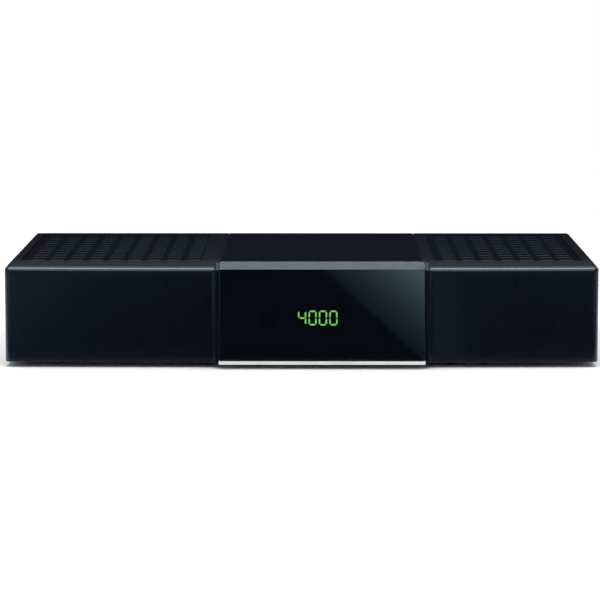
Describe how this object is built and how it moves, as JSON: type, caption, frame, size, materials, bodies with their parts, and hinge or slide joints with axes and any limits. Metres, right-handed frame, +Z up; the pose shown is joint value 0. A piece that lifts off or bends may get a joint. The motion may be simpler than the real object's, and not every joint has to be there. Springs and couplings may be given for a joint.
{
  "type": "satellite tv receiver",
  "caption": "Flat black satellite television receiver with matt wings, a proud gloss window, a silver strip, a lit green digit display and slotted top.",
  "frame": {"origin": "centre of the whole box, on the plane that the four feet stand on", "axes": "+X along the front to the right as seen from the front, +Y to the back, +Z up"},
  "size_m": [0.22, 0.1334, 0.0399],
  "materials": {
    "housing_plastic": "fine moulded grain, black",
    "base_plastic": "coarse moulded grain, black",
    "foot_rubber": "matt moulded rubber",
    "screw_steel": "blackened steel",
    "bezel_plastic": "satin black",
    "smoked_window": "polished smoked acrylic",
    "silver_trim": "bright satin anodised",
    "lit_segments": "diffusing plastic, lit green",
    "display_plastic": "dark moulded plastic",
    "circuit_board": "green solder resist",
    "chip_plastic": "moulded epoxy",
    "sink_aluminium": "extruded, plain",
    "tinned_metal": "tinned sheet",
    "plated_metal": "nickel plate",
    "capacitor_sleeve": "shrunk sleeve",
    "ferrite": "dark ferrite",
    "header_plastic": "moulded nylon",
    "ribbon_plastic": "flat film cable",
    "orange_plastic": "moulded plastic",
    "socket_plastic": "moulded plastic",
    "switch_plastic": "moulded plastic",
    "rocker_plastic": "smooth moulded plastic",
    "panel_paint": "fine textured black powder coat"
  },
  "bodies": {
    "case": {"upper_housing": "housing_plastic", "base_chassis": "base_plastic", "foot_a": "foot_rubber", "foot_b": "foot_rubber", "foot_c": "foot_rubber", "foot_d": "foot_rubber", "base_screw_a": "screw_steel", "base_screw_b": "screw_steel", "base_screw_c": "screw_steel", "base_screw_d": "screw_steel", "bezel_frame": "bezel_plastic", "smoked_window": "smoked_window", "silver_trim": "silver_trim", "segment_face": "lit_segments", "digit_module": "display_plastic", "display_board": "circuit_board", "display_screw_a": "screw_steel", "display_screw_b": "screw_steel", "ir_receiver": "display_plastic", "main_board": "circuit_board", "board_screw_a": "screw_steel", "board_screw_b": "screw_steel", "board_screw_c": "screw_steel", "board_screw_d": "screw_steel", "processor": "chip_plastic", "heat_sink": "sink_aluminium", "memory_chip_a": "chip_plastic", "memory_chip_b": "chip_plastic", "flash_chip": "chip_plastic", "crystal_can": "tinned_metal", "capacitor_a": "capacitor_sleeve", "capacitor_b": "capacitor_sleeve", "capacitor_c": "capacitor_sleeve", "capacitor_d": "capacitor_sleeve", "capacitor_e": "capacitor_sleeve", "inductor_a": "ferrite", "inductor_b": "ferrite", "board_header": "header_plastic", "display_header": "header_plastic", "ribbon_cable": "ribbon_plastic", "tuner_can": "tinned_metal", "aerial_connector": "plated_metal", "aerial_washer": "plated_metal", "aerial_nut": "plated_metal", "audio_socket_body": "orange_plastic", "audio_socket_shell": "plated_metal", "av_socket": "socket_plastic", "video_socket": "plated_metal", "data_socket": "plated_metal", "power_inlet": "socket_plastic", "switch_housing": "switch_plastic", "rear_panel": "panel_paint", "panel_screw_a": "screw_steel", "panel_screw_b": "screw_steel"},
    "rocker": {"power_rocker": "rocker_plastic"}
  },
  "joints": [
    {"name": "rocker_tilt", "type": "hinge", "parent": "case", "child": "rocker", "pos_m": [0.084, 0.0569, 0.02], "axis": [1, 0, 0], "range_deg": [-16, 0]}
  ]
}
